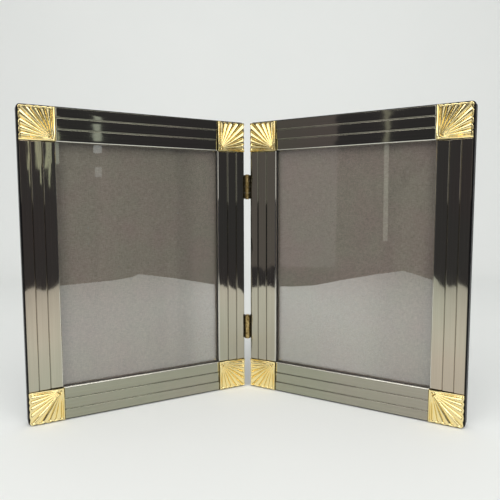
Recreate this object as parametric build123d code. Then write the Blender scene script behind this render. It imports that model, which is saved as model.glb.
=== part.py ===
# Hinged double photo frame: two upright leaves, each a black timber body with a polished stepped
# moulding on its front and a cast shell-pattern plate on every corner, joined by two butt hinges
# and standing on a table like an open book. Behind each sight opening lie glass, a photo insert, a
# filler card and a back board, held by four turn buttons.
#
# Millimetres. +Z is up, the fronts face -Y, and the origin is under the middle of the whole frame.
# Each leaf is drawn as a panel first: x runs outwards from its hinge side, y back from the front
# plane of its moulding, z up from its foot. The right leaf is that panel turned about the hinge
# axis, and the left leaf is its mirror image.
from build123d import *
import math
import os

# Photograph that the rebate takes, and how far the sight edge laps over it
photo_width = 127.0
photo_height = 178.0
photo_thickness = 0.3
lap_sides = 3.2
lap_ends = 3.8

# Body: border round the sight opening, rounded corners, flange that the glass bears on
border = 23.6
corner_radius = 2.5
flange_thickness = 3.2

# Sheets in the rebate, front to back, their margin past the photograph and the play round them
glass_thickness = 1.8
filler_thickness = 0.7
board_thickness = 1.8
sheet_margin = 0.5
rebate_play = 0.5

# Stepped moulding: three bands, each a step lower than the one outside it, and a sight lip
moulding_thickness = 1.8
moulding_inset = 0.5
band_width = 7.5
band_step = 0.6
lip_thickness = 0.6
lip_hook = 0.6
outer_round = 1.0
step_round = 0.4
end_margin = 1.2
end_margin_thickness = 0.4
strip_gap = 0.1

# Corner plates: size, seat, height above the moulding, and the fan of rays on them
plate_inset = 0.8
plate_size = 22.8
plate_proud = 0.9
rays_per_side = 4
valley_depth = 0.8
valley_share = 0.4
scallop_depth = 0.45
focus_setback = 2.2
hub_radius = 5.0
outer_rim_width = 1.3
prong_radius = 0.8
prong_length = 3.0
prong_edge = 6.0
prong_far = 14.0
prong_play = 0.1

# Butt hinges: barrel, pin, plates and countersunk screws
hinge_length = 19.2
hinge_foot = 50.8
hinge_head = 51.6
knuckle_count = 4
knuckle_radius = 2.5
knuckle_gap = 0.15
axis_proud = 0.25
axis_aside = 1.6
pin_radius = 0.9
pin_play = 0.05
pin_head_radius = 1.5
pin_head_height = 0.4
hinge_leaf_thickness = 0.8
hinge_leaf_width = 5.9
swing_play = 0.3
hinge_screw_spacing = 11.0
hinge_screw_head_radius = 1.6
hinge_screw_radius = 0.8
hinge_screw_length = 8.0
screw_play = 0.05

# Turn buttons on the back and the screws that they swing on
button_radius = 4.0
button_thickness = 0.8
button_gap = 0.2
button_lap = 5.0
pivot_setback = 6.0
pivot_screw_radius = 1.2
pivot_screw_head_radius = 2.6
pivot_screw_head_height = 0.8
pivot_screw_length = 5.0
pivot_play = 0.08
slot_width = 0.6
slot_depth = 0.4

# How far each leaf is folded forward from flat
leaf_turn_degrees = 29.6

# Overrun of cutters past the faces that they cut
overrun = 1.0

# Sizes that follow
sight_width = photo_width - 2 * lap_sides
sight_height = photo_height - 2 * lap_ends
leaf_width = sight_width + 2 * border
leaf_height = sight_height + 2 * border
sheet_width = photo_width + 2 * sheet_margin
sheet_height = photo_height + 2 * sheet_margin
rebate_width = sheet_width + 2 * rebate_play
rebate_height = sheet_height + 2 * rebate_play
glass_front = moulding_thickness + flange_thickness
photo_front = glass_front + glass_thickness
filler_front = photo_front + photo_thickness
board_front = filler_front + filler_thickness
leaf_back = board_front + board_thickness
button_front = leaf_back + button_gap
button_back = button_front + button_thickness
wall_offset = axis_aside
moulding_offset = axis_proud + plate_proud
plate_far = plate_inset + plate_size
knuckle_pitch = hinge_length / knuckle_count
hinge_leaf_front = knuckle_radius + swing_play
button_reach = pivot_setback + button_lap


def slab(sketch, front, back):
    """Solid of an x-z outline between two depths behind the moulding plane."""
    return Pos(0, front, 0) * extrude(Plane.XZ * sketch, amount=front - back)


def panel_rectangle(width, height):
    """Rectangle centred on the leaf."""
    return Pos(leaf_width / 2, leaf_height / 2) * Rectangle(width, height)


def rod_back(x, z, radius, front, back):
    """Round rod along the depth of the leaf."""
    return slab(Pos(x, z) * Circle(radius), front, back)


def across(piece):
    """The piece mirrored to the other side of the leaf."""
    return mirror(piece, about=Plane.YZ.offset(leaf_width / 2))


def upended(piece):
    """The piece mirrored to the other end of the leaf."""
    return mirror(piece, about=Plane.XY.offset(leaf_height / 2))


def hinge_centres():
    """Heights of the two hinges, one set from the foot of the leaf and one from its top."""
    return [hinge_foot, leaf_height - hinge_head]


def pivot_places():
    """Place of each turn button's screw and the way that its tip points, in degrees."""
    side_setback = (leaf_width - rebate_width) / 2 - pivot_setback
    end_setback = (leaf_height - rebate_height) / 2 - pivot_setback
    return {
        "inner": (side_setback, leaf_height / 2, 0),
        "outer": (leaf_width - side_setback, leaf_height / 2, 180),
        "bottom": (leaf_width / 2, end_setback, 90),
        "top": (leaf_width / 2, leaf_height - end_setback, -90),
    }


def prong_places():
    """Two prongs behind the plate at the foot of the hinge side, one in each bar of the body."""
    return [(prong_edge, prong_far), (prong_far, prong_edge)]


def corner_prong_holes():
    """Holes for the prongs of all four plates."""
    depth = moulding_thickness + prong_length + prong_play
    holes = Part()
    for x, z in prong_places():
        holes += rod_back(x, z, prong_radius + prong_play, 0, depth)
    holes += across(holes)
    holes += upended(holes)
    return holes


def hinge_screw(play):
    """Countersunk screw along +x from the face of the hinge leaf, grown by the play."""
    head = Cone(
        hinge_screw_head_radius + play,
        hinge_screw_radius + play,
        hinge_leaf_thickness,
        align=(Align.CENTER, Align.CENTER, Align.MIN),
    )
    shank = Cylinder(
        hinge_screw_radius + play,
        hinge_screw_length + play,
        align=(Align.CENTER, Align.CENTER, Align.MIN),
    )
    return Rot(0, 90, 0) * (head + shank)


def hinge_screw_places():
    """Screw places, measured from the hinge axis like the hinges themselves."""
    x = wall_offset - hinge_leaf_thickness
    y = hinge_leaf_front + hinge_leaf_width / 2
    places = []
    for centre in hinge_centres():
        for side in (-1, 1):
            places.append(Pos(x, y, centre + side * hinge_screw_spacing / 2))
    return places


def hinge_screws(play):
    """All four hinge screws of a leaf, or the cutter for their holes."""
    return [place * hinge_screw(play) for place in hinge_screw_places()]


def body_bars():
    """Body of the leaf: four mitred bars with a rebate behind the flange that holds the glass."""
    middle = Pos(leaf_width / 2, leaf_height / 2)
    outline = middle * RectangleRounded(leaf_width, leaf_height, corner_radius)
    opening = panel_rectangle(sight_width + 2 * lip_thickness, sight_height + 2 * lip_thickness)
    rebate = panel_rectangle(rebate_width, rebate_height)
    ring = slab(outline, moulding_thickness, leaf_back)
    ring -= slab(opening, 0, leaf_back)
    ring -= slab(rebate, glass_front, leaf_back + overrun)
    ring -= corner_prong_holes()
    hole_radius = pivot_screw_radius + screw_play
    for x, z, angle in pivot_places().values():
        ring -= rod_back(x, z, hole_radius, leaf_back - pivot_screw_length, leaf_back + overrun)
    to_panel = Pos(-wall_offset, -moulding_offset, 0)
    for cutter in hinge_screws(screw_play):
        ring -= to_panel * cutter
    bars = {}
    for side, outline in mitre_outlines().items():
        bars[side] = ring & slab(outline, 0, leaf_back + overrun)
    return bars


def mitre_outlines():
    """Outline between the two mitres of each bar, run out past the body."""
    near = -overrun
    right = leaf_width + overrun
    high = leaf_height + overrun
    inner_right = leaf_width - border
    inner_high = leaf_height - border
    outlines = {
        "inner": [(near, near), (border, border), (border, inner_high), (near, high)],
        "outer": [(right, near), (right, high), (inner_right, inner_high), (inner_right, border)],
        "bottom": [(near, near), (right, near), (inner_right, border), (border, border)],
        "top": [(near, high), (border, inner_high), (inner_right, inner_high), (right, high)],
    }
    return {side: make_face(Polyline(*points, close=True)) for side, points in outlines.items()}


def moulding_section():
    """Section of the moulding: x is the distance from the leaf's edge, y the depth."""
    step_two = border - lip_thickness - band_width
    step_one = step_two - band_width
    points = [
        (moulding_inset, moulding_thickness),
        (moulding_inset, 0),
        (step_one, 0),
        (step_one, band_step),
        (step_two, band_step),
        (step_two, 2 * band_step),
        (border, 2 * band_step),
        (border, moulding_thickness + lip_hook),
        (border - lip_thickness, moulding_thickness + lip_hook),
        (border - lip_thickness, moulding_thickness),
    ]
    rounds = [0, outer_round, step_round, 0, step_round, 0, step_round, 0, 0, 0]
    return make_face(FilletPolyline(*points, radius=rounds, close=True))


def moulding_strip(length):
    """Strip of moulding along +z, thinned to a flat margin at both ends."""
    strip = extrude(moulding_section(), amount=length)
    margin = Box(
        border - lip_thickness,
        moulding_thickness - end_margin_thickness,
        end_margin,
        align=(Align.MIN, Align.MIN, Align.MIN),
    )
    strip -= margin
    strip -= Pos(0, 0, length - end_margin) * margin
    return strip


def moulding_strips():
    """Four strips between the corner plates: two stiles and two rails."""
    start = plate_far + strip_gap
    stile = Pos(0, 0, start) * moulding_strip(leaf_height - 2 * start)
    rail_length = leaf_width - 2 * start
    rail = Pos(start + rail_length, 0, 0) * Rot(0, -90, 0) * moulding_strip(rail_length)
    return {
        "inner_stile": stile,
        "outer_stile": across(stile),
        "bottom_rail": rail,
        "top_rail": upended(rail),
    }


def fan_point(angle, setback):
    """Point set back from the plate's outer edges, at an angle below level seen from the focus."""
    near = plate_inset + setback
    focus = plate_far - focus_setback
    drop = (focus - near) * math.tan(math.radians(min(angle, 90 - angle)))
    place = (near, focus - drop)
    return place if angle < 45 else place[::-1]


def scalloped_outline():
    """Outline of a corner plate: a scallop round the end of each valley, and a rounded corner."""
    step = 45 / rays_per_side
    count = 2 * rays_per_side
    crests = [fan_point(number * step, 0) for number in range(count + 1)]
    notches = [fan_point((number + 0.5) * step, scallop_depth) for number in range(count)]
    plate_round = corner_radius - plate_inset
    edges = [
        Line((plate_inset, plate_far), crests[0]),
        TangentArc(crests[0], notches[0], tangent=(0, -1)),
        TangentArc(crests[-1], notches[-1], tangent=(-1, 0)),
        Line(crests[-1], (plate_far, plate_inset)),
        Line((plate_far, plate_inset), (plate_far, plate_far)),
        Line((plate_far, plate_far), (plate_inset, plate_far)),
        Line(notches[rays_per_side - 1], (plate_inset, corner_radius)),
        RadiusArc((plate_inset, corner_radius), (corner_radius, plate_inset), plate_round),
        Line((corner_radius, plate_inset), notches[rays_per_side]),
    ]
    for number in range(1, count):
        if number != rays_per_side:
            edges.append(ThreePointArc(notches[number - 1], crests[number], notches[number]))
    return make_face(edges)


def valley_outlines():
    """Valleys between eight rays: they widen from the hub to the rim along the outer edges."""
    step = 45 / rays_per_side
    spread = step * valley_share / 2
    focus = Vector(plate_far - focus_setback, plate_far - focus_setback)
    outlines = []
    for number in range(2 * rays_per_side + 1):
        points = []
        for angle in (number * step - spread, number * step + spread):
            end = Vector(fan_point(angle, outer_rim_width))
            start = focus + (end - focus).normalized() * hub_radius
            points.append((start, end))
        outlines.append(make_face(Polyline(*points[0], *points[1][::-1], close=True)))
    return outlines


def corner_plate():
    """Cast plate for the foot of the hinge side: fan of rays, hub, rims and two prongs behind."""
    ground = plate_proud - valley_depth
    plate = slab(scalloped_outline(), -plate_proud, moulding_thickness)
    for valley in valley_outlines():
        plate -= slab(valley, -plate_proud - overrun, -ground)
    for x, z in prong_places():
        plate += rod_back(x, z, prong_radius, 0, moulding_thickness + prong_length)
    return plate


def corner_plates():
    plate = corner_plate()
    return {
        "bottom_inner": plate,
        "bottom_outer": across(plate),
        "top_inner": upended(plate),
        "top_outer": upended(across(plate)),
    }


def sheets():
    """Glass, photo insert, filler card and back board, stacked in the rebate."""
    full = panel_rectangle(sheet_width, sheet_height)
    photo = panel_rectangle(photo_width, photo_height)
    return {
        "glass": slab(full, glass_front, photo_front),
        "photo_insert": slab(photo, photo_front, filler_front),
        "filler_card": slab(photo, filler_front, board_front),
        "back_board": slab(full, board_front, leaf_back),
    }


def turn_buttons():
    """Flat round-ended buttons, each turned so that its tip holds the back board."""
    reach = button_reach - button_radius
    oblong = Pos(reach / 2, 0) * SlotCenterToCenter(reach, 2 * button_radius)
    blank = oblong - Circle(pivot_screw_radius + pivot_play)
    buttons = {}
    for side, (x, z, angle) in pivot_places().items():
        buttons[side] = slab(Pos(x, z) * Rot(0, 0, angle) * blank, button_front, button_back)
    return buttons


def pivot_screws():
    """Slotted screws that the turn buttons swing on."""
    head_front = button_back + button_gap / 2
    head_back = head_front + pivot_screw_head_height
    slot = Rectangle(2 * pivot_screw_head_radius + overrun, slot_width)
    screws = []
    for x, z, angle in pivot_places().values():
        screw = rod_back(x, z, pivot_screw_radius, leaf_back - pivot_screw_length, head_front)
        screw += rod_back(x, z, pivot_screw_head_radius, head_front, head_back)
        screw -= slab(Pos(x, z) * slot, head_back - slot_depth, head_back + overrun)
        screws.append(screw)
    return screws


def hinge_leaf(centre, first_knuckle):
    """One hinge leaf: a plate on the body's side and every second knuckle of the barrel."""
    foot = centre - hinge_length / 2
    x = wall_offset - hinge_leaf_thickness
    align = (Align.MIN, Align.MIN, Align.MIN)
    plate = Box(hinge_leaf_thickness, hinge_leaf_width, hinge_length, align=align)
    height = knuckle_pitch - knuckle_gap
    knuckle = Cylinder(knuckle_radius, height, align=(Align.CENTER, Align.CENTER, Align.MIN))
    neck = Box(hinge_leaf_thickness, hinge_leaf_front, height, align=align)
    leaf = Pos(x, hinge_leaf_front, foot) * plate
    for number in range(first_knuckle, knuckle_count, 2):
        start = foot + number * knuckle_pitch + knuckle_gap / 2
        leaf += Pos(0, 0, start) * knuckle
        leaf += Pos(x, 0, start) * neck
    leaf -= Pos(0, 0, centre) * Cylinder(pin_radius + pin_play, hinge_length + overrun)
    for cutter in hinge_screws(screw_play):
        leaf -= cutter
    return leaf


def hinge_pin(centre):
    """Pin through one barrel, with a low head at each end."""
    pin = Cylinder(pin_radius, hinge_length)
    head = Cylinder(pin_head_radius, pin_head_height)
    for side in (-1, 1):
        pin += Pos(0, 0, side * (hinge_length + pin_head_height) / 2) * head
    return Pos(0, 0, centre) * pin


def leaf_pieces(first_knuckle):
    """Every piece of one leaf, measured from the hinge axis."""
    to_axis = Pos(wall_offset, moulding_offset, 0)
    pieces = {}
    for name, strip in moulding_strips().items():
        pieces[name] = to_axis * strip
    for name, plate in corner_plates().items():
        pieces["corner_plate_" + name] = to_axis * plate
    for side, bar in body_bars().items():
        pieces["body_bar_" + side] = to_axis * bar
    for name, sheet in sheets().items():
        pieces[name] = to_axis * sheet
    for side, button in turn_buttons().items():
        pieces["turn_button_" + side] = to_axis * button
    pieces["pivot_screws"] = to_axis * Compound(pivot_screws())
    for name, centre in zip(("lower", "upper"), hinge_centres()):
        pieces["hinge_leaf_" + name] = hinge_leaf(centre, first_knuckle)
    pieces["hinge_screws"] = Compound(hinge_screws(0))
    return pieces


def frame_pieces():
    """Both leaves at their fold and the two hinge pins, with the hinge axis on Z."""
    turn = Rot(0, 0, -leaf_turn_degrees)
    pieces = {}
    for name, piece in leaf_pieces(1).items():
        pieces["right_" + name] = turn * piece
    for name, piece in leaf_pieces(0).items():
        pieces["left_" + name] = mirror(turn * piece, about=Plane.YZ)
    for name, centre in zip(("lower", "upper"), hinge_centres()):
        pieces["hinge_pin_" + name] = hinge_pin(centre)
    return pieces


def main():
    os.makedirs("parts", exist_ok=True)
    pieces = frame_pieces()
    reach = Compound(list(pieces.values())).bounding_box()
    axis_place = (reach.min.Y + reach.max.Y) / 2
    for name, piece in pieces.items():
        export_step(Pos(0, -axis_place, 0) * piece, "parts/" + name + ".step")
    print("hinge axis at y", round(-axis_place, 4))
    print("size", reach.size)


main()
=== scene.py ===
# Hinged double photo frame: two black timber leaves with stepped mouldings in polished black
# nickel and cast, gold-plated shell corners, joined like a book by two brass butt hinges.
# The file follows the object as it is put together, from the body of a leaf to the table it
# stands on. Sizes of a leaf are millimetres: across from its hinge side, back from the front of
# its moulding, up from its foot. Places in the room are metres.
import bmesh
import bpy
import math
import numpy as np
from mathutils import Matrix, Vector


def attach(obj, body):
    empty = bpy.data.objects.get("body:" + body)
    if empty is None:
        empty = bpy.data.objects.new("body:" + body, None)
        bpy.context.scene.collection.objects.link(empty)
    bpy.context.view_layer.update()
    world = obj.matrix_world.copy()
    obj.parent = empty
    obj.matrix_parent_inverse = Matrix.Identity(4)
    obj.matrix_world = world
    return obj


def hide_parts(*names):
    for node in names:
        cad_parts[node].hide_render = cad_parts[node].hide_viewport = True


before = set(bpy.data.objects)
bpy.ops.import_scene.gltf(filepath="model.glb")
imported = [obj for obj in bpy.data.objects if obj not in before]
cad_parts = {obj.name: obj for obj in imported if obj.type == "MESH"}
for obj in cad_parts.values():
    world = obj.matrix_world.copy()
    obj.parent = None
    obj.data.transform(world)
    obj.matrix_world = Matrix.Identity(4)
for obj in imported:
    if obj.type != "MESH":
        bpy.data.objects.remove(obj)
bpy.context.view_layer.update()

# Body of a leaf
# Four mitred timber bars, moulded with a rebate for the sheets, glued up at the corners and
# sprayed with black lacquer. The corners are rounded over, and the mitres show as hairlines.
leaf_names = ("left", "right")
leaf_width = 167.8
leaf_height = 217.6
body_front = 1.8
body_back = 9.6
corner_radius = 2.5
corner_steps = 6
bar_ease = 0.35

# Turns of the bars' section: the seat of the sight lip, the edge of the opening, the front of the
# glass, and the edge of the rebate beside each bar
lip_seat = 23.0
lip_seat_depth = 2.45
opening_edge = 23.45
glass_front = 5.0
rebate_edges = {"bottom": 18.8, "top": 18.8, "inner": 19.4, "outer": 19.4}

# Seat of a leaf: how far it is folded forward, the hinge axis beside its edge and in front of
# its moulding, and that axis in the frame
fold = math.radians(29.6)
axis_aside = 1.6
axis_ahead = 1.15
axis_back = 37.2524


def linear(colour):
    """Linear red, green, blue and alpha of an sRGB hex colour."""
    parts = [int(colour[i:i + 2], 16) / 255 for i in (1, 3, 5)]
    return tuple(c / 12.92 if c <= 0.04045 else ((c + 0.055) / 1.055) ** 2.4 for c in parts) + (1.0,)


def add(tree, kind, inputs=None, **settings):
    """Adds a node. Each input is a value, a hex colour, or the socket that feeds it."""
    node = tree.nodes.new(kind)
    for name, value in settings.items():
        setattr(node, name, value)
    for key, value in (inputs or {}).items():
        if isinstance(value, bpy.types.NodeSocket):
            tree.links.new(value, node.inputs[key])
        elif isinstance(value, str) and value.startswith("#"):
            node.inputs[key].default_value = linear(value)
        else:
            node.inputs[key].default_value = value
    return node


def new_material(name):
    """An empty material, its tree and its Object coordinates."""
    made = bpy.data.materials.new(name)
    made.use_nodes = True
    made.node_tree.nodes.clear()
    return made, made.node_tree, add(made.node_tree, "ShaderNodeTexCoord").outputs["Object"]


def noise(tree, place, size, unit=1000, **looks):
    """Noise in patches of that many millimetres, one size or one for each way. The place is in
    metres, or in millimetres with unit 1."""
    sizes = size if isinstance(size, tuple) else (size, size, size)
    way = add(tree, "ShaderNodeMapping", {"Vector": place, "Scale": tuple(unit / s for s in sizes)})
    return add(tree, "ShaderNodeTexNoise", {"Vector": way.outputs[0], "Scale": 1.0, **looks}).outputs["Fac"]


def spread(tree, value, low, high, start=0.0, end=1.0):
    """The value's run from low to high turned into a run from start to end, and held past it."""
    return add(tree, "ShaderNodeMapRange", {
        "Value": value, "From Min": low, "From Max": high, "To Min": start, "To Max": end}).outputs[0]


def blend(tree, share, first, second, way="MIX"):
    """Mix of two colours, or their product."""
    mixed = add(tree, "ShaderNodeMix", {"Factor": share, "A": first, "B": second},
                data_type="RGBA", blend_type=way)
    return mixed.outputs["Result"]


def relief(tree, height, depth, strength, over=None):
    """Bumps of that many millimetres, laid over other bumps where there are some."""
    inputs = {"Height": height, "Distance": depth / 1000, "Strength": strength}
    if over is not None:
        inputs["Normal"] = over
    return add(tree, "ShaderNodeBump", inputs).outputs[0]


def surface(tree, inputs):
    """The Principled shader that the material shows."""
    coat = add(tree, "ShaderNodeBsdfPrincipled", inputs)
    add(tree, "ShaderNodeOutputMaterial", {"Surface": coat.outputs[0]})


def seated(points, side):
    """Metres in the frame for points of a leaf. The left leaf is the right one's mirror image."""
    across, back, up = np.asarray(points, float).T
    aside = across + axis_aside
    behind = back + axis_ahead
    x = aside * math.cos(fold) + behind * math.sin(fold)
    y = behind * math.cos(fold) - aside * math.sin(fold) + axis_back
    return np.stack((x if side == "right" else -x, y, up), axis=1) / 1000


def closed_mesh(name, points, faces, lay=None, extra=None):
    """Mesh of a closed shell with its faces turned outwards. lay keeps each point's place along
    and across the piece in millimetres, so that a finish can follow it, and extra keeps a value
    of each point by name."""
    mesh = bpy.data.meshes.new(name)
    mesh.from_pydata([tuple(p) for p in points], [], faces)
    if lay is not None:
        mesh.attributes.new("lay", "FLOAT_VECTOR", "POINT").data.foreach_set(
            "vector", np.asarray(lay, np.float32).ravel())
    for key, values in (extra or {}).items():
        mesh.attributes.new(key, "FLOAT", "POINT").data.foreach_set(
            "value", np.asarray(values, np.float32))
    work = bmesh.new()
    work.from_mesh(mesh)
    bmesh.ops.remove_doubles(work, verts=work.verts, dist=1e-6)
    bmesh.ops.dissolve_degenerate(work, dist=1e-7, edges=work.edges)
    bmesh.ops.holes_fill(work, edges=[e for e in work.edges if e.is_boundary], sides=0)
    bmesh.ops.recalc_face_normals(work, faces=work.faces)
    work.to_mesh(mesh)
    work.free()
    mesh.shade_smooth()
    return mesh


def linked(name, data):
    """Object in the scene for a mesh, a light or a camera."""
    made = bpy.data.objects.new(name, data)
    bpy.context.scene.collection.objects.link(made)
    return made


def settled(piece):
    """Gives a piece the plain mesh that its modifiers make, and takes them off."""
    bpy.context.view_layer.update()
    graph = bpy.context.evaluated_depsgraph_get()
    mesh = bpy.data.meshes.new_from_object(
        piece.evaluated_get(graph), preserve_all_data_layers=True, depsgraph=graph)
    piece.modifiers.clear()
    piece.data = mesh
    return piece


def eased(piece, width, steps=2, sharp=40):
    """Rounds the edges of a piece by that many millimetres, and shades flat faces flat."""
    if width:
        edges = piece.modifiers.new("eased edges", "BEVEL")
        edges.width = width / 1000
        edges.segments = steps
        edges.limit_method = "ANGLE"
        edges.angle_limit = math.radians(sharp)
    even = piece.modifiers.new("flat faces stay flat", "WEIGHTED_NORMAL")
    even.weight = 80
    return settled(piece)


def finished(name, mesh, material, ease=0.0, steps=2, sharp=40):
    """Object of a mesh with its edges eased and its finish on."""
    piece = eased(linked(name, mesh), ease, steps, sharp)
    piece.data.materials.clear()
    piece.data.materials.append(material)
    return piece


def stood_for(piece, node, body):
    """The piece stands for a CAD node, which it hides, and rides on its body."""
    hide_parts(node)
    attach(piece, body)


# Sprayed black lacquer on sanded timber: a deep black with a satin gloss, a little orange peel,
# and a trace of the grain along each bar. The grain is drawn about twice as wide as it is.
black_lacquer, tree, place = new_material("black_lacquer_on_timber")
lay = add(tree, "ShaderNodeAttribute", attribute_name="lay").outputs["Vector"]
grain = noise(tree, lay, (50, 0.769, 0.769), 1, Detail=4.0)
peel = noise(tree, lay, 1.667, 1, Detail=2.0)
surface(tree, {
    "Base Color": blend(tree, peel, "#08080A", "#121114"),
    "Roughness": spread(tree, grain, 0.3, 0.75, 0.34, 0.5),
    "Normal": relief(tree, grain, 0.04, 0.6, relief(tree, peel, 0.03, 0.5)),
    "Specular IOR Level": 0.22})


def bar_section(rebate_edge):
    """Distance from the leaf's edge and depth of each corner of a bar's section."""
    return [(0, body_front), (lip_seat, body_front), (lip_seat, lip_seat_depth),
            (opening_edge, lip_seat_depth), (opening_edge, glass_front),
            (rebate_edge, glass_front), (rebate_edge, body_back), (0, body_back)]


def edge_path(distance, length):
    """Points along one side of the leaf at a distance from its edge, from the middle of one
    rounded corner to the middle of the next."""
    corner = max(corner_radius, distance)
    radius = corner - distance
    points = []
    for a in np.radians(np.linspace(45, 90, corner_steps)):
        points.append((corner - radius * math.cos(a), corner - radius * math.sin(a)))
    for a in np.radians(np.linspace(90, 45, corner_steps)):
        points.append((length - corner + radius * math.cos(a), corner - radius * math.sin(a)))
    return points


def bar_points(bar):
    """Points of one bar, row by row along it, with the place of each along and round the bar."""
    section = bar_section(rebate_edges[bar])
    length = leaf_width if bar in ("bottom", "top") else leaf_height
    rows = [edge_path(distance, length) for distance, depth in section]
    girth = np.cumsum([0] + [math.dist(section[i], section[i - 1]) for i in range(1, len(section))])
    points = []
    lay = []
    for step in range(2 * corner_steps):
        for number, (distance, depth) in enumerate(section):
            along, inward = rows[number][step]
            place = {"bottom": (along, inward), "top": (along, leaf_height - inward),
                     "inner": (inward, along), "outer": (leaf_width - inward, along)}[bar]
            points.append((place[0], depth, place[1]))
            lay.append((along, girth[number], depth))
    return points, lay, len(section)


def lattice_faces(rows, columns):
    """Faces of a tube of rows, closed round its columns."""
    return [(r * columns + c, r * columns + (c + 1) % columns,
             (r + 1) * columns + (c + 1) % columns, (r + 1) * columns + c)
            for r in range(rows - 1) for c in range(columns)]


for side in leaf_names:
    for bar in ("bottom", "top", "inner", "outer"):
        points, lay, columns = bar_points(bar)
        faces = lattice_faces(2 * corner_steps, columns)
        mesh = closed_mesh("bar", seated(points, side), faces, lay)
        piece = finished(f"{side}_timber_bar_{bar}", mesh, black_lacquer, bar_ease, 3, 35)
        stood_for(piece, f"{side}_body_bar_{bar}", f"{side}_leaf")

# Sheets in the rebate
# From the front: float glass, the grey-brown card that fills the opening, a filler of pulp
# board, and a fibreboard back covered in black velvet flock, all cut to drop in from behind.
board_ease = 0.3


def figure(tree, operation, *values):
    """Result of a sum on values or sockets."""
    return add(tree, "ShaderNodeMath", dict(enumerate(values)), operation=operation).outputs[0]


# Guillotined card of mixed grey and brown fibre: uneven like felt, with flecks that run both ways.
# The fibres are drawn about ten times as wide as they are, so that they show.
card, tree, place = new_material("mottled_grey_brown_card")
weft = noise(tree, place, (2.38, 2.38, 0.588), Detail=3.0)
warp = noise(tree, place, (0.526, 0.526, 3.03), Detail=3.0)
fibres = figure(tree, "ADD", weft, warp)
cloud = noise(tree, place, 35.7, Detail=3.0, Roughness=0.6)
ground = blend(tree, spread(tree, cloud, 0.38, 0.62), "#B0A698", "#B3A298")
surface(tree, {
    "Base Color": blend(tree, 1.0, ground, spread(tree, fibres, 0.7, 1.3, 0.80, 1.22), "MULTIPLY"),
    "Roughness": 0.9,
    "Normal": relief(tree, fibres, 0.05, 0.6),
    "Specular IOR Level": 0.3})

# Grey pulp board, rolled and uncoated: flat and a little speckled.
filler, tree, place = new_material("rolled_pulp_board")
specks = noise(tree, place, 1.11, Detail=4.0)
surface(tree, {"Base Color": blend(tree, specks, "#A8A296", "#C4BFB2"), "Roughness": 0.92})

# Velvet flock blown on to glue: black with a soft grey sheen at a slant, brushed into patches.
# A tuft is drawn about three times as wide as it is.
flock, tree, place = new_material("black_velvet_flock")
pile = noise(tree, place, 0.714, Detail=2.0)
brushed = noise(tree, place, 45.5, Detail=2.0, Distortion=1.2)
lie = spread(tree, figure(tree, "MULTIPLY", pile, brushed), 0.12, 0.4)
surface(tree, {
    "Base Color": blend(tree, lie, "#08080A", "#26262A"),
    "Roughness": 1.0,
    "Normal": relief(tree, pile, 0.2, 0.9),
    "Specular IOR Level": 0.1,
    "Sheen Weight": 0.35,
    "Sheen Roughness": 0.45,
    "Sheen Tint": "#8C8C96"})

# Clear float glass: it lets the light through and mirrors a share that grows at a slant, with a
# scatter of dust that catches the light. The motes are drawn coarser than they are.
mote_spacing = 5.88
mote_reach = 0.10
glass, tree, place = new_material("clear_float_glass")
slant = add(tree, "ShaderNodeLayerWeight", {"Blend": 0.5}).outputs["Facing"]
mirrored = spread(tree, figure(tree, "POWER", slant, 5.0), 0.0, 1.0, 0.20, 1.0)
clear = add(tree, "ShaderNodeBsdfTransparent", {"Color": "#FBFDFC"})
shine = add(tree, "ShaderNodeBsdfGlossy", {"Color": "#FFFFFF", "Roughness": 0.0})
pane = add(tree, "ShaderNodeMixShader", {0: mirrored, 1: clear.outputs[0], 2: shine.outputs[0]})
motes = add(tree, "ShaderNodeTexVoronoi", {
    "Vector": place, "Scale": 1000 / mote_spacing, "Randomness": 1.0}).outputs
chance = add(tree, "ShaderNodeSeparateColor", {0: motes["Color"]}).outputs[0]
mote = figure(tree, "LESS_THAN", motes["Distance"], spread(tree, chance, 0.90, 1.0, 0.0, mote_reach))
lint = add(tree, "ShaderNodeBsdfDiffuse", {"Color": "#E8E6DF"})
dusty = add(tree, "ShaderNodeMixShader", {
    0: figure(tree, "MULTIPLY", mote, 0.4), 1: pane.outputs[0], 2: lint.outputs[0]})
add(tree, "ShaderNodeOutputMaterial", {"Surface": dusty.outputs[0]})

for side in leaf_names:
    for node, material in (("glass", glass), ("photo_insert", card), ("filler_card", filler)):
        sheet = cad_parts[f"{side}_{node}"]
        sheet.data.materials.clear()
        sheet.data.materials.append(material)


def eased_copy(node, name, material, ease, steps=2):
    """Copy of a CAD solid with its edges eased, and its curved faces smooth."""
    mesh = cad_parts[node].data.copy()
    work = bmesh.new()
    work.from_mesh(mesh)
    bmesh.ops.remove_doubles(work, verts=work.verts, dist=1e-6)
    bmesh.ops.dissolve_limit(work, angle_limit=math.radians(1), verts=work.verts, edges=work.edges)
    bmesh.ops.recalc_face_normals(work, faces=work.faces)
    work.to_mesh(mesh)
    work.free()
    mesh.shade_smooth()
    if "custom_normal" in mesh.attributes:
        mesh.attributes.remove(mesh.attributes["custom_normal"])
    return finished(name, mesh, material, ease, steps)


for side in leaf_names:
    board = eased_copy(f"{side}_back_board", f"{side}_flocked_board", flock, board_ease, 3)
    stood_for(board, f"{side}_back_board", f"{side}_leaf")

# Moulding
# Thin brass strip rolled to three stepped reeds with rounded edges and a hooked sight lip, cut
# to length, rolled over at the ends, plated in black nickel and buffed, then pinned to the body.
strip_start = 23.7
strip_edge = 0.75
edge_round = 0.35
reed_ends = ((1.1, 7.15), (8.2, 14.65), (15.7, 22.8))
reed_step = 0.6
reed_round = 0.40
reed_crown = 0.03
reed_points = 7
groove_aside = 0.53
lip_round = 0.8
lip_hook_depth = 2.4

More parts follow.
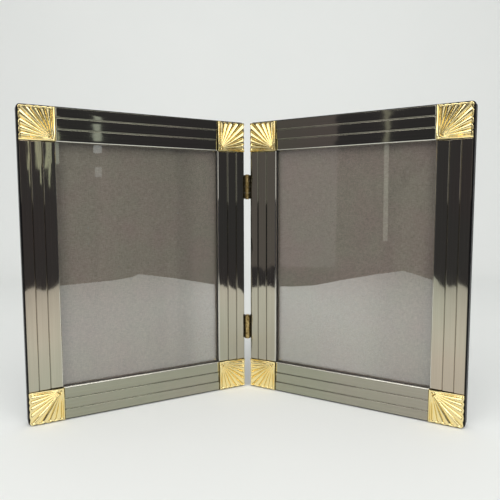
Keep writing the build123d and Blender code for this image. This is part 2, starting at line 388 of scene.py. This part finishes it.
# Ends of a strip: the flat margin, how far along and down each kind of strip rolls over to it,
# the depth that it never rolls past, and the steps of the roll
margin_length = 0.12
end_rolls = {"rail": 1.3, "stile": 0.4}
roll_depth = 0.45
roll_floor = 1.7
roll_steps = 8

# Strips in the order they are made, and how far each one's plate leans from the warm tint to grey
strip_greyness = {"inner_stile": 0.35, "outer_stile": 0.0, "bottom_rail": 1.0, "top_rail": 1.0}


def arc(centre, radius, start, end, steps):
    """Points on an arc, each a distance from the leaf's edge and a depth."""
    angles = np.radians(np.linspace(start, end, steps + 1))
    return [(centre[0] + radius * math.cos(a), centre[1] + radius * math.sin(a)) for a in angles]


def reed(start, end, depth):
    """Face of one reed: nearly flat, with the slight crown that rolling leaves."""
    shares = np.linspace(0, 1, reed_points + 2)[1:-1]
    return [(start + (end - start) * t, depth - reed_crown * (1 - (2 * t - 1) ** 2)) for t in shares]


def moulding_section():
    """Closed section of the moulding, from the back of its outer edge round to the sight lip. A
    reed ends in a rounded edge and a narrow groove, out of which the next reed rises."""
    points = [(strip_edge, body_front)]
    points += arc((strip_edge + edge_round, edge_round), edge_round, 180, 270, 8)
    for number, (start, end) in enumerate(reed_ends[:2]):
        depth = number * reed_step
        points += reed(start, end, depth)
        points += arc((end, depth + reed_round), reed_round, 270, 350, 7)
        points += [(end + 0.47, depth + 0.78), (end + 0.80, depth + 0.86)]
        points += arc((end + 1.05, depth + 0.74), 0.14, 195, 270, 4)
    start, end = reed_ends[2]
    depth = 2 * reed_step
    points += reed(start, end, depth)
    points += arc((end, depth + lip_round), lip_round, 270, 360, 10)
    points += [(end + lip_round, lip_hook_depth), (lip_seat, lip_hook_depth), (lip_seat, body_front)]
    return points


def new_group(name, inputs):
    """Geometry Nodes tree with named inputs, and the sockets that they come in by."""
    tree = bpy.data.node_groups.new(name, "GeometryNodeTree")
    for label, kind in inputs.items():
        tree.interface.new_socket(label, in_out="INPUT", socket_type="NodeSocket" + kind)
    tree.interface.new_socket("Geometry", in_out="OUTPUT", socket_type="NodeSocketGeometry")
    return tree, add(tree, "NodeGroupInput").outputs


def deliver(tree, geometry, finish):
    """Hands out the geometry of a tree as one real mesh in its finish."""
    whole = add(tree, "GeometryNodeRealizeInstances", {0: geometry})
    coated = add(tree, "GeometryNodeSetMaterial", {0: whole.outputs[0], "Material": finish})
    add(tree, "NodeGroupOutput", {0: coated.outputs[0]})


def strip_tree():
    """Geometry Nodes for one strip: the section is carried along its length, and each end rolls
    over to a flat margin."""
    tree, given = new_group("stepped moulding strip", {
        "Section": "Object", "Length": "Float", "Margin": "Float", "Roll": "Float",
        "Roll Depth": "Float", "Roll Floor": "Float", "Roll Steps": "Int", "Finish": "Material"})
    section = add(tree, "GeometryNodeObjectInfo", {"Object": given["Section"]}).outputs["Geometry"]
    counted = add(tree, "GeometryNodeAttributeDomainSize", {0: section}, component="MESH")
    count = counted.outputs["Point Count"]
    columns = figure(tree, "ADD", count, 1.0)
    rows = figure(tree, "MULTIPLY_ADD", given["Roll Steps"], 2.0, 4.0)
    grid = add(tree, "GeometryNodeMeshGrid", {"Vertices X": rows, "Vertices Y": columns})
    index = add(tree, "GeometryNodeInputIndex").outputs[0]
    row = figure(tree, "FLOOR", figure(tree, "DIVIDE", index, columns))
    column = figure(tree, "MODULO", figure(tree, "MODULO", index, columns), count)
    taken = add(tree, "GeometryNodeSampleIndex", {
        0: section, "Value": add(tree, "GeometryNodeInputPosition").outputs[0], "Index": column},
        data_type="FLOAT_VECTOR", domain="POINT")
    point = add(tree, "ShaderNodeSeparateXYZ", {0: taken.outputs["Value"]}).outputs

    # Rows counted from the nearer end: the first two hold the flat margin, the rest the roll
    from_end = figure(tree, "SUBTRACT", figure(tree, "SUBTRACT", rows, 1.0), row)
    nearest = figure(tree, "MINIMUM", row, from_end)
    last_step = figure(tree, "ADD", given["Roll Steps"], 1.0)
    turn = spread(tree, nearest, 1.0, last_step, 0.0, math.pi / 2)
    drop = figure(tree, "SUBTRACT", 1.0, figure(tree, "SINE", turn))
    rolled = figure(tree, "SUBTRACT", 1.0, figure(tree, "COSINE", turn))
    set_in = figure(tree, "MULTIPLY_ADD", rolled, given["Roll"], given["Margin"])
    off_end = figure(tree, "GREATER_THAN", nearest, 0.5)
    near_end = figure(tree, "MULTIPLY", set_in, off_end)
    far_end = figure(tree, "SUBTRACT", given["Length"], near_end)
    second_half = figure(tree, "GREATER_THAN", row, from_end)
    along = add(tree, "ShaderNodeMix", {
        "Factor": second_half, "A": near_end, "B": far_end}, data_type="FLOAT").outputs[0]
    to_floor = figure(tree, "SUBTRACT", given["Roll Floor"], point["Y"])
    at_most = figure(tree, "MINIMUM", to_floor, given["Roll Depth"])
    lowered = figure(tree, "MAXIMUM", at_most, 0.0)
    depth = figure(tree, "MULTIPLY_ADD", drop, lowered, point["Y"])

    spot = add(tree, "ShaderNodeCombineXYZ", {"X": point["X"], "Y": depth, "Z": along})
    lay = add(tree, "ShaderNodeCombineXYZ", {"X": along, "Y": point["X"], "Z": point["Y"]})
    kept = add(tree, "GeometryNodeStoreNamedAttribute", {
        0: grid.outputs["Mesh"], "Name": "lay", "Value": lay.outputs[0]},
        data_type="FLOAT_VECTOR", domain="POINT")
    placed = add(tree, "GeometryNodeSetPosition", {
        "Geometry": kept.outputs[0], "Position": spot.outputs[0]})
    deliver(tree, placed.outputs[0], given["Finish"])
    return tree


def grown(name, tree, values, points=()):
    """Mesh that a Geometry Nodes tree makes from named values, starting from loose points."""
    start = bpy.data.meshes.new(name)
    start.from_pydata([tuple(p) for p in points], [], [])
    holder = linked(name, start)
    maker = holder.modifiers.new(name, "NODES")
    maker.node_group = tree
    for item in tree.interface.items_tree:
        if item.in_out == "INPUT" and item.name in values:
            maker[item.identifier] = values[item.name]
    mesh = settled(holder).data
    bpy.data.objects.remove(holder)
    return mesh


def read_points(mesh, key=None):
    """Points of a mesh, or the values of one of its vector attributes."""
    values = np.zeros(len(mesh.vertices) * 3)
    if key is None:
        mesh.vertices.foreach_get("co", values)
    else:
        mesh.attributes[key].data.foreach_get("vector", values)
    return values.reshape(-1, 3)


# Black nickel plate over buffed strip: a dark, slightly warm mirror. Buffing runs lengthwise, so
# it draws the reflections out a little, and the plate's tint drifts between grey-green and pink.
# The mop's lines are drawn about ten times as wide as they are. The sight lip carries a painted highlight,
# and the outer edge and the grooves carry painted shade, as the photograph shows them.
black_nickel, tree, place = new_material("buffed_black_nickel_plate")
lay = add(tree, "ShaderNodeAttribute", attribute_name="lay").outputs["Vector"]
greyness = add(tree, "ShaderNodeAttribute", attribute_name="batch").outputs["Fac"]
across_strip = add(tree, "ShaderNodeSeparateXYZ", {0: lay}).outputs["Y"]
drawn = noise(tree, lay, (83.3, 0.417, 2.5), 1, Detail=3.0)
pinkness = spread(tree, noise(tree, place, 90.9, Detail=2.0), 0.42, 0.62)
warm_tint = blend(tree, pinkness, "#B8B5A3", "#BFB3A2")
grey_tint = blend(tree, pinkness, "#A5A594", "#A9A497")
plate_tint = blend(tree, greyness, warm_tint, grey_tint)
# Painted highlight: the sight lip is drawn paler than the rest of the plate
tint = blend(tree, spread(tree, across_strip, 22.7, 23.05), plate_tint, "#D8D6CC")
# Painted shade: the outer edge and the grooves are drawn darker
painted_edge_shade = spread(tree, across_strip, 0.95, 1.2, 0.10, 1.0)
for start, end in reed_ends[:2]:
    off_groove = figure(tree, "ABSOLUTE", figure(tree, "SUBTRACT", across_strip, end + groove_aside))
    painted_edge_shade = figure(tree, "MINIMUM", painted_edge_shade, spread(tree, off_groove, 0.2, 0.4, 0.7, 1.0))
streaked = blend(tree, 1.0, tint, spread(tree, drawn, 0.35, 0.65, 0.93, 1.05), "MULTIPLY")
wave = noise(tree, lay, (28.6, 9.09, math.inf), 1, Detail=1.0)
surface(tree, {
    "Base Color": blend(tree, 1.0, streaked, painted_edge_shade, "MULTIPLY"),
    "Metallic": 1.0,
    "Roughness": spread(tree, drawn, 0.3, 0.7, 0.03, 0.06),
    "Normal": relief(tree, drawn, 0.003, 0.6, relief(tree, wave, 0.25, 0.5))})

section_mesh = bpy.data.meshes.new("section")
section_mesh.from_pydata([(edge, depth, 0) for edge, depth in moulding_section()], [], [])
section_holder = linked("section", section_mesh)
strips = strip_tree()
for strip, greyness in strip_greyness.items():
    length = (leaf_width if strip.endswith("rail") else leaf_height) - 2 * strip_start
    made = grown(strip, strips, {
        "Section": section_holder, "Length": length, "Margin": margin_length,
        "Roll": end_rolls[strip.split("_")[1]], "Roll Depth": roll_depth,
        "Roll Floor": roll_floor, "Roll Steps": roll_steps, "Finish": black_nickel})
    edge, back, along = read_points(made).T
    along = along + strip_start
    where = {"inner_stile": (edge, back, along), "outer_stile": (leaf_width - edge, back, along),
             "bottom_rail": (along, back, edge), "top_rail": (along, back, leaf_height - edge)}[strip]
    faces = [tuple(face.vertices) for face in made.polygons]
    for side in leaf_names:
        mesh = closed_mesh("strip", seated(np.stack(where, axis=1), side), faces,
                           read_points(made, "lay"), {"batch": [greyness] * len(edge)})
        piece = finished(f"{side}_plated_{strip}", mesh, black_nickel)
        stood_for(piece, f"{side}_{strip}", f"{side}_leaf")
bpy.data.objects.remove(section_holder)

# Corner plates
# Die-cast shells, each a fan of eight rounded rays that spreads from a hub near the sight opening
# to a scalloped rim along the leaf's two outer edges. Gold-plated, tumbled bright, and pressed on
# to the mitres by two prongs behind.
plate_near = 0.8
plate_far = 23.6
plate_top = 0.86
plate_rounds = {"outer": 1.7, "inner": 0.7}
fan_focus = 21.4
ray_angle = 11.25
ray_steps = 22
notch_depth = 0.45

# Reach of the fan under the inner rims, and stops along its edge there, before and past the focus
fan_reach = 22.8
inner_stops = (-0.5, 0.0, 0.5, 1.1, 1.8, 2.7, 3.9, 5.5, 7.8, 10.6, 14.0, 17.0, 20.0)
rim_stops = (22.8, 22.3, 21.95, 21.65)

# Rows of the fan as shares of the way from the focus to the outline, closest at the rolled edge
fan_rows = np.concatenate((
    np.linspace(0.008, 0.20, 26),
    np.linspace(0.22, 0.90, 26),
    1 - 0.1 * np.linspace(1, 0, 15)[1:] ** 1.5))

# Relief: the flatness of a ray's crown, depth of the valleys at the hub and what they gain by the
# rim, the band inside the outline where they start, and the outline's own rounded edge
crown_flatness = 2.1
hub_valley = 0.13
valley_gain = 0.72
hub_reach = 1.5
valley_reach = 13.0
outer_band = (0.95, 1.6)
edge_roll = 0.45
edge_drop = 0.55

# Mark near the inner corner: a short cut across the diagonal and a round pit nearer the corner
cut_place = 4.7
cut_depth = 0.6
pit_place = 2.7
pit_depth = 0.4

# Rims along the two inner sides, and the prongs
rim_round = 0.3
rim_width = 0.9
rim_top = 0.87
rim_foot = 1.79
prong_places = ((6, 14), (14, 6))
prong_radius = 0.8
prong_front = 1.7
prong_back = 4.8
prong_taper = 0.8
prong_sides = 16


def smooth(value, low, high):
    """Share that eases from 0 at low to 1 at high."""
    t = np.clip((value - low) / (high - low), 0, 1)
    return t * t * (3 - 2 * t)


def half_outline(plate_round):
    """Outline of the fan on one side of its diagonal, from the hub's corner along the inner rim
    and down the scalloped edge to the rounded corner. Inner points carry 1, outer points 0."""
    points = [(fan_reach, fan_reach, 1)]
    points += [(fan_focus - distance, fan_reach, 1) for distance in inner_stops]
    points += [(plate_near, up, 0) for up in rim_stops]
    for number in range(int(3.5 * ray_steps) + 1):
        whole = number // ray_steps
        share = 0.5 - 0.5 * math.cos(math.pi * (number / ray_steps - whole))
        angle = math.radians((whole + share) * ray_angle)
        near = plate_near + notch_depth * (1 - abs(1 - 2 * share)) ** 2
        points.append((near, fan_focus - (fan_focus - near) * math.tan(angle), 0))
    near, up, inner = points[-1]
    centre = plate_near + plate_round
    for share in (0.3, 0.6, 0.85):
        points.append((near + (plate_near - near) * share, up + (centre - up) * share, 0))
    for angle in np.radians(np.linspace(0, 45, 7)):
        points.append((centre - plate_round * math.cos(angle), centre - plate_round * math.sin(angle), 0))
    return points


def fan_outline(plate_round):
    """The whole outline of the fan, closed, and which of its points lie on the inner sides."""
    half = half_outline(plate_round)
    whole = half + [(b, a, inner) for a, b, inner in half[-2:0:-1]]
    return np.array([point[:2] for point in whole]), np.array([point[2] for point in whole])


def fan_height(spot, left):
    """Height of the fan above the moulding, and the share of painted shade at each point, most at the
    valley bottoms and in the cut and the pit. left is how far each point lies inside the outline."""
    aside, below = (fan_focus - spot).T
    reach = np.hypot(aside, below)
    share = np.degrees(np.arctan2(below, aside)) / ray_angle % 1
    crown = 1 - np.abs(2 * share - 1) ** crown_flatness
    past = np.maximum(-aside, -below)
    beside = smooth(past, 0.0, 0.6) * (1 - 0.75 * smooth(past, 0.85, 1.25))
    crown = np.where(past > 0, np.where(reach > hub_reach, beside, 1.0), crown)
    inside = smooth(left, *outer_band)
    swell = hub_valley + valley_gain * smooth(reach, hub_reach, valley_reach)
    tip = np.clip(left / edge_roll, 0, 1)
    height = plate_top - swell * (1 - crown) * inside - edge_drop * (1 - np.sqrt(1 - (1 - tip) ** 2))
    from_corner = plate_far - spot
    inward = from_corner.sum(axis=1) / math.sqrt(2)
    sideways = (from_corner[:, 0] - from_corner[:, 1]) / math.sqrt(2)
    cut = 1 - smooth(np.abs(inward - cut_place), 0.18, 0.42)
    cut = cut * (1 - smooth(np.abs(sideways), 1.3, 1.8))
    pit = 1 - smooth(np.hypot(inward - pit_place, sideways), 0.3, 0.9)
    # Painted shade: strongest at the valley bottoms away from the hub, and in the cut and the pit
    painted_shade = (1 - crown) ** 2.2 * smooth(reach, 2.0, 9.0) * inside
    painted_shade = np.maximum(painted_shade, np.maximum(cut, pit))
    return height - cut_depth * cut - pit_depth * pit, np.clip(painted_shade, 0, 1)


def end_caps(rows, columns):
    """Faces that close a tube of rows at its two ends."""
    return [tuple(range(columns)), tuple(range(rows * columns - 1, (rows - 1) * columns - 1, -1))]


def fan_shell(plate_round):
    """Fan from its focus out to its outline, with the wall and foot below the outline."""
    outline, inner = fan_outline(plate_round)
    across = len(outline)
    points = []
    shade = []
    full = np.linalg.norm(outline - fan_focus, axis=1)
    for share in fan_rows:
        spot = fan_focus + (outline - fan_focus) * share
        left = np.where(inner > 0, 99.0, full * (1 - share))
        height, painted_shade = fan_height(spot, left)
        points += [(a, -h, b) for (a, b), h in zip(spot, height)]
        shade += list(painted_shade)
    points += [(a, body_front, b) for a, b in outline]
    shade += [0.6] * across
    rows = len(fan_rows) + 1
    return points, lattice_faces(rows, across) + end_caps(rows, across), shade


def inner_rims():
    """Straight rims along the plate's two inner sides, mitred where they meet, with round tops."""
    crest = rim_round - rim_top
    section = [(0.0, rim_foot)] + arc((rim_round, crest), rim_round, 180, 270, 5)
    section += arc((rim_width - rim_round, crest), rim_round, 270, 360, 5) + [(rim_width, rim_foot)]
    start = plate_near + 0.03
    rows = [[(plate_far - e, y, start) for e, y in section],
            [(plate_far - e, y, plate_far - e) for e, y in section],
            [(start, y, plate_far - e) for e, y in section]]
    count = len(section)
    return [point for row in rows for point in row], lattice_faces(3, count) + end_caps(3, count)


def prong(centre):
    """Points and faces of a prong, drawn in at its tip."""
    circle = [(math.cos(a), math.sin(a)) for a in np.radians(np.arange(0, 360, 360 / prong_sides))]
    rings = [(prong_radius, prong_front), (prong_radius, prong_back - prong_taper),
             (prong_radius * 0.45, prong_back)]
    points = [(centre[0] + r * c, y, centre[1] + r * s) for r, y in rings for c, s in circle]
    return points, lattice_faces(3, prong_sides) + end_caps(3, prong_sides)


def joined(pieces):
    """Points, faces and shades of several closed shells as one list each."""
    points = []
    faces = []
    shade = []
    for some_points, some_faces, some_shade in pieces:
        faces += [tuple(len(points) + n for n in face) for face in some_faces]
        points += list(some_points)
        shade += list(some_shade)
    return np.array(points, float), faces, shade


# Bright gold plate over a tumbled casting: a warm mirror, softer than the mouldings. The bottoms of the
# valleys, the cut and the pit are painted brown as painted shade, where the photograph shows dark lines.
gold, tree, place = new_material("gold_plate_on_tumbled_casting")
painted_valley_shade = add(tree, "ShaderNodeAttribute", attribute_name="painted_valley_shade").outputs["Fac"]
worn = noise(tree, place, 3.85, Detail=3.0)
# Painted shade: the base colour turns dark brown at the valley bottoms, the cut and the pit
surface(tree, {
    "Base Color": blend(tree, spread(tree, painted_valley_shade, 0.60, 1.0, 0.0, 0.8),
                        blend(tree, worn, "#FFE8A4", "#FFEFB6"), "#4C2C0E"),
    "Metallic": 1.0,
    "Roughness": spread(tree, worn, 0.3, 0.7, 0.15, 0.22),
    "Normal": relief(tree, worn, 0.04, 0.35)})

for level, edge in (("bottom", "inner"), ("bottom", "outer"), ("top", "inner"), ("top", "outer")):
    shells = [fan_shell(plate_rounds[edge])]
    for shape in (inner_rims(), *(prong(centre) for centre in prong_places)):
        shells.append((*shape, [0.0] * len(shape[0])))
    plate_points, plate_faces, plate_shade = joined(shells)
    for side in leaf_names:
        points = plate_points.copy()
        if edge == "outer":
            points[:, 0] = leaf_width - points[:, 0]
        if level == "top":
            points[:, 2] = leaf_height - points[:, 2]
        mesh = closed_mesh("plate", seated(points, side), plate_faces, None, {"painted_valley_shade": plate_shade})
        piece = finished(f"{side}_gold_shell_{level}_{edge}", mesh, gold)
        stood_for(piece, f"{side}_corner_plate_{level}_{edge}", f"{side}_leaf")

# Turn buttons and their screws
# Steel strip blanked to round-ended buttons, deburred and nickel-plated, each held by a slotted
# pan-head screw driven into the back of a bar.
button_ease = 0.22

# Screws: how far in from the leaf's sides and ends they stand, the back of the button, and the
# profile of a screw in radii and lengths from there, tip first
pivot_in = 13.4
pivot_up = 12.8
pivot_back = 10.7
pan_profile = [(0.0, -5.6), (1.2, -5.0), (1.2, 0.0), (2.6, 0.0), (2.6, 0.35), (2.45, 0.55),
               (2.1, 0.7), (1.5, 0.78), (0.0, 0.8)]
pan_slot_width = 0.65
pan_slot_floor = 0.4
screw_sides = 40
burr = 0.06

# Bright nickel over pressed steel: pale and shiny, with faint scuffs from the tumbling barrel,
# drawn about ten times as wide as they are.
nickel, tree, place = new_material("nickel_plate_on_pressed_steel")
scuffs = noise(tree, place, 1.11, Detail=4.0, Distortion=1.5)
surface(tree, {
    "Base Color": blend(tree, scuffs, "#94918A", "#BBB8B0"),
    "Metallic": 1.0,
    "Roughness": spread(tree, scuffs, 0.3, 0.7, 0.12, 0.30),
    "Normal": relief(tree, scuffs, 0.01, 0.5)})

for side in leaf_names:
    for button in ("top", "bottom", "inner", "outer"):
        node = f"{side}_turn_button_{button}"
        piece = eased_copy(node, f"{side}_pressed_button_{button}", nickel, button_ease, 3)
        stood_for(piece, node, node)


def lathed(profile):
    """Points and faces of a profile of radii and lengths turned about the depth axis."""
    turns = [2 * math.pi * number / screw_sides for number in range(screw_sides)]
    points = [(r * math.cos(a), length, r * math.sin(a)) for r, length in profile for a in turns]
    return points, lattice_faces(len(profile), screw_sides)


def slotted_screw(name, profile, slot_width, slot_floor):
    """Screw turned from a profile, its head towards +y, with a slot sawn across the head."""
    points, faces = lathed(profile)
    screw = linked(name, closed_mesh(name, np.array(points) / 1000, faces))
    half = slot_width / 2
    blade_points = [(x, y, z) for x in (-6, 6) for y in (slot_floor, 20) for z in (-half, half)]
    blade_faces = [(0, 1, 3, 2), (4, 6, 7, 5), (0, 4, 5, 1), (2, 3, 7, 6), (0, 2, 6, 4), (1, 5, 7, 3)]
    blade = linked("blade", closed_mesh("blade", np.array(blade_points) / 1000, blade_faces))
    sawn = screw.modifiers.new("slot", "BOOLEAN")
    sawn.operation = "DIFFERENCE"
    sawn.object = blade
    settled(screw)
    bpy.data.objects.remove(blade)
    return eased(screw, burr)


def screw_tree():
    """Geometry Nodes for a set of screws: one on each point, its slot left wherever it stopped."""
    tree, given = new_group("driven screws", {
        "Geometry": "Geometry", "Screw": "Object", "Facing": "Vector", "Seed": "Int",
        "Finish": "Material"})
    screw = add(tree, "GeometryNodeObjectInfo", {"Object": given["Screw"]})
    faced = add(tree, "GeometryNodeInstanceOnPoints", {
        "Points": given["Geometry"], "Instance": screw.outputs["Geometry"], "Rotation": given["Facing"]})
    stop = add(tree, "FunctionNodeRandomValue", {2: 0.0, 3: math.pi, "Seed": given["Seed"]})
    turned = add(tree, "ShaderNodeCombineXYZ", {"Y": stop.outputs[1]})
    driven = add(tree, "GeometryNodeRotateInstances", {
        "Instances": faced.outputs[0], "Rotation": turned.outputs[0], "Local Space": True})
    deliver(tree, driven.outputs[0], given["Finish"])
    return tree


def screw_set(name, side, screw, places, facing, seed, material):
    """Screws at places of a leaf, turned to face along the leaf's own axes."""
    facing = (facing - fold) * (1 if side == "right" else -1)
    mesh = grown(name, driven_screws, {
        "Screw": screw, "Facing": (0.0, 0.0, facing), "Seed": seed, "Finish": material},
        seated(places, side))
    return linked(name, mesh)


driven_screws = screw_tree()
pan_screw = slotted_screw("pan_head", pan_profile, pan_slot_width, pan_slot_floor)
for seed, side in enumerate(leaf_names):
    pivots = [(pivot_in, pivot_back, leaf_height / 2),
              (leaf_width - pivot_in, pivot_back, leaf_height / 2),
              (leaf_width / 2, pivot_back, pivot_up),
              (leaf_width / 2, pivot_back, leaf_height - pivot_up)]
    piece = screw_set(f"{side}_pan_head_screws", side, pan_screw, pivots, 0.0, 3 + seed, nickel)
    stood_for(piece, f"{side}_pivot_screws", f"{side}_leaf")
bpy.data.objects.remove(pan_screw)

# Hinges
# Two small butt hinges of brass strip, rolled round a headed pin into four knuckles and screwed
# to the facing sides of the leaves. The brass has aged to a dull olive brown on the barrel.
hinge_ease = 0.12
hinge_heights = (50.8, 166.0)
screw_step = 5.5

# Screws: the face that they sink into and their distance back, and the profile of a screw in
# radii and lengths from that face, tip first
seat_face = -0.8
seat_back = 4.6
sunk_profile = [(0.0, -7.6), (0.2, -7.5), (0.8, -5.6), (0.8, -0.8), (1.58, -0.03), (1.5, 0.02),
                (0.0, 0.03)]
sunk_slot_width = 0.45
sunk_slot_floor = -0.35

# Aged rolled brass: brown in patches, with painted shade that leaves the front of the barrel bright and
# darkens its flanks and everything further aside, as the photograph shows it. The rolling lines are drawn
# about five times too wide.
brass, tree, place = new_material("aged_rolled_brass")
patina = noise(tree, place, 2.38, Detail=4.0, Roughness=0.65)
rolling = noise(tree, place, (0.385, 0.385, 4.17), Detail=2.0)
tone = blend(tree, spread(tree, patina, 0.35, 0.65), "#6E5A32", "#CDB47C")
off_front = figure(tree, "ABSOLUTE", add(tree, "ShaderNodeSeparateXYZ", {0: place}).outputs["X"])
# Painted shade: darker from about 1.1 mm either side of the hinge line, down to a sixth past 1.8 mm
painted_flank_shade = spread(tree, off_front, 0.0011, 0.0018, 1.0, 0.16)
surface(tree, {
    "Base Color": blend(tree, 1.0, tone, painted_flank_shade, "MULTIPLY"),
    "Metallic": 1.0,
    "Roughness": spread(tree, patina, 0.3, 0.7, 0.40, 0.22),
    "Normal": relief(tree, rolling, 0.02, 0.4)})

for level in ("upper", "lower"):
    for side in leaf_names:
        node = f"{side}_hinge_leaf_{level}"
        piece = eased_copy(node, f"{side}_butt_hinge_{level}", brass, hinge_ease)
        stood_for(piece, node, f"{side}_leaf")
    pin = eased_copy(f"hinge_pin_{level}", f"headed_pin_{level}", brass, hinge_ease)
    stood_for(pin, f"hinge_pin_{level}", "left_leaf")

sunk_screw = slotted_screw("countersunk_head", sunk_profile, sunk_slot_width, sunk_slot_floor)
for seed, side in enumerate(leaf_names):
    seats = [(seat_face, seat_back, height + step)
             for height in hinge_heights for step in (-screw_step, screw_step)]
    piece = screw_set(
        f"{side}_countersunk_screws", side, sunk_screw, seats, math.pi / 2, 11 + seed, brass)
    stood_for(piece, f"{side}_hinge_screws", f"{side}_leaf")
bpy.data.objects.remove(sunk_screw)

# Table and light
# A sheet of white paper on a table, swept up behind, in a dim room: the mirror-bright mouldings
# show the paper as far as its front edge and the dim room above it.
paper_half = 1.4
sweep_start = 0.62
sweep_radius = 0.30
sweep_top = 1.5

# Front edge of the paper, from right to left: it waves, and the glass mirrors it
paper_edge = [
    (1.4, 0.62), (1.4, 0.15), (0.60, -0.05), (0.40, -0.20), (0.435, -0.325), (0.460, -0.441),
    (0.466, -0.537), (0.426, -0.514), (0.368, -0.513), (0.322, -0.526), (0.227, -0.562),
    (0.189, -0.564), (-0.313, -0.569), (-0.390, -0.605), (-0.475, -0.642), (-0.456, -0.525),
    (-0.430, -0.423), (-0.403, -0.331), (-0.410, -0.284), (-0.60, -0.05), (-1.4, 0.15),
    (-1.4, 0.62)]

# Matt white paper, rolled: plain, with only a breath of unevenness. It is drawn greyer towards the
# front, as though less light fell there.
paper, tree, place = new_material("matt_white_paper")
tone = blend(tree, noise(tree, place, 167, Detail=2.0), "#EDEFEE", "#F1F2F1")
forward = add(tree, "ShaderNodeSeparateXYZ", {0: place}).outputs["Y"]
surface(tree, {
    "Base Color": blend(tree, 1.0, tone, spread(tree, forward, -0.60, -0.22, 0.55, 1.0), "MULTIPLY"),
    "Roughness": 0.85,
    "Specular IOR Level": 0.2})

sweep_points = [(x, y, 0.0) for x, y in paper_edge]
sweep_faces = [tuple(range(len(paper_edge)))[::-1]]
sweep_turns = [math.radians(angle) for angle in (*range(8, 91, 8), 90)]
sweep_line = [(sweep_start + sweep_radius * math.sin(turn), sweep_radius * (1 - math.cos(turn)))
              for turn in sweep_turns] + [(sweep_start + sweep_radius, sweep_top)]
previous = (0, len(paper_edge) - 1)
for y, z in sweep_line:
    current = (len(sweep_points), len(sweep_points) + 1)
    sweep_points += [(paper_half, y, z), (-paper_half, y, z)]
    sweep_faces.append((previous[0], current[0], current[1], previous[1]))
    previous = current
sweep = bpy.data.meshes.new("paper_sweep")
sweep.from_pydata(sweep_points, [], sweep_faces)
sweep.shade_smooth()
table = linked("paper_sweep", sweep)
table.data.materials.append(paper)


def softbox(name, place, target, size, radiance, colour, glossy=True):
    """Plain area light of a given brightness at a place, turned to a target. The camera never
    sees the box itself, and without glossy the frame doesn't mirror it either."""
    data = bpy.data.lights.new(name, "AREA")
    data.shape = "RECTANGLE"
    data.size, data.size_y = size
    data.energy = radiance * math.pi * size[0] * size[1]
    data.color = linear(colour)[:3]
    box = linked(name, data)
    box.location = place
    box.rotation_mode = "QUATERNION"
    box.rotation_quaternion = (Vector(target) - Vector(place)).to_track_quat("-Z", "Y")
    box.visible_camera = False
    box.visible_glossy = glossy


# Soft light from the ceiling, from the wall in front and from a lamp on either side
softbox("overhead", (0.0, 0.1, 1.2), (0.0, 0.0, 0.0), (1.3, 1.0), 0.25, "#FEFEFD", glossy=False)
softbox("front_ceiling", (0.0, -0.80, 1.10), (0.0, 0.0, 0.1), (2.6, 1.05), 1.68, "#FEFEFC")
softbox("front_wall", (0.0, -1.30, 0.55), (0.0, 0.0, 0.15), (0.8, 0.8), 1.1, "#FEFEFC")
for across in (-0.70, 0.70):
    softbox("side_lamp", (across, -1.00, 0.62), (0.0, 0.0, 0.15), (0.45, 0.17), 4.6, "#FEFEFC")
softbox("wall_wash", (0.0, 0.15, 0.80), (0.0, 0.92, 0.80), (1.6, 0.3), 0.26, "#FEFEFC", glossy=False)
for name, across in (("left_wall", -1.1), ("right_wall", 1.1)):
    softbox(name, (across, -0.05, 0.42), (0.0, -0.05, 0.12), (0.6, 0.8), 0.22, "#F4F6F2", glossy=False)

# Pale upright panels that the glass and the mouldings mirror as streaks
softbox("left_doorway", (-1.0, -0.65, 0.30), (0.0, 0.0, 0.2), (0.35, 0.7), 0.13, "#F0E2E0")
softbox("left_window", (-0.796, -0.90, 0.29), (0.0, 0.0, 0.18), (0.014, 0.50), 0.40, "#E9EBD6")
for across, up, height in ((0.584, 0.325, 0.13), (0.612, 0.300, 0.18), (0.643, 0.335, 0.11)):
    softbox("right_window", (across, -1.038, up), (0.0, 0.0, 0.20), (0.017, height), 0.75, "#E2EAD2")
softbox("right_pane", (0.73, -0.955, 0.37), (0.0, 0.0, 0.20), (0.024, 0.11), 0.75, "#E9F0EC")
softbox("right_sill", (0.73, -0.955, 0.257), (0.0, 0.0, 0.20), (0.020, 0.03), 0.40, "#E9F0EC")

# The room round it all: an even fill for matt things, a dim one for the frame to mirror, and a
# plain pale wall for the camera
world = bpy.data.worlds.new("room")
bpy.context.scene.world = world
world.use_nodes = True
tree = world.node_tree
tree.nodes.clear()
path = add(tree, "ShaderNodeLightPath").outputs
around = add(tree, "ShaderNodeBackground", {"Color": "#E9EAE8", "Strength": 0.48})
dim = add(tree, "ShaderNodeBackground", {"Color": "#454449", "Strength": 1.0})
behind = add(tree, "ShaderNodeBackground", {"Color": "#E4E5E1", "Strength": 1.0})
lit = add(tree, "ShaderNodeMixShader", {
    0: path["Is Glossy Ray"], 1: around.outputs[0], 2: dim.outputs[0]})
room = add(tree, "ShaderNodeMixShader", {
    0: path["Is Camera Ray"], 1: lit.outputs[0], 2: behind.outputs[0]})
add(tree, "ShaderNodeOutputWorld", {"Surface": room.outputs[0]})

bpy.context.scene.view_settings.view_transform = "Standard"

# Camera
# It stands a little above the middle of the frame and looks slightly down, as the photograph does.
camera_place = (0.00963, -0.37649, 0.14990)
camera_turns = (-1.032, -4.887, -0.120)
focal_length = 36.368
film_width = 36.0

yaw, pitch, roll = (math.radians(angle) for angle in camera_turns)
ahead = Vector((math.sin(yaw) * math.cos(pitch), math.cos(yaw) * math.cos(pitch), math.sin(pitch)))
level = Vector((math.cos(yaw), -math.sin(yaw), 0.0))
upright = level.cross(ahead)
right = level * math.cos(roll) + upright * math.sin(roll)
top = upright * math.cos(roll) - level * math.sin(roll)
lens = bpy.data.cameras.new("camera")
lens.lens = focal_length
lens.sensor_width = film_width
lens.clip_start = 0.01
camera = linked("camera", lens)
camera.matrix_world = Matrix((*zip(right, top, -ahead, camera_place), (0.0, 0.0, 0.0, 1.0)))
bpy.context.scene.camera = camera
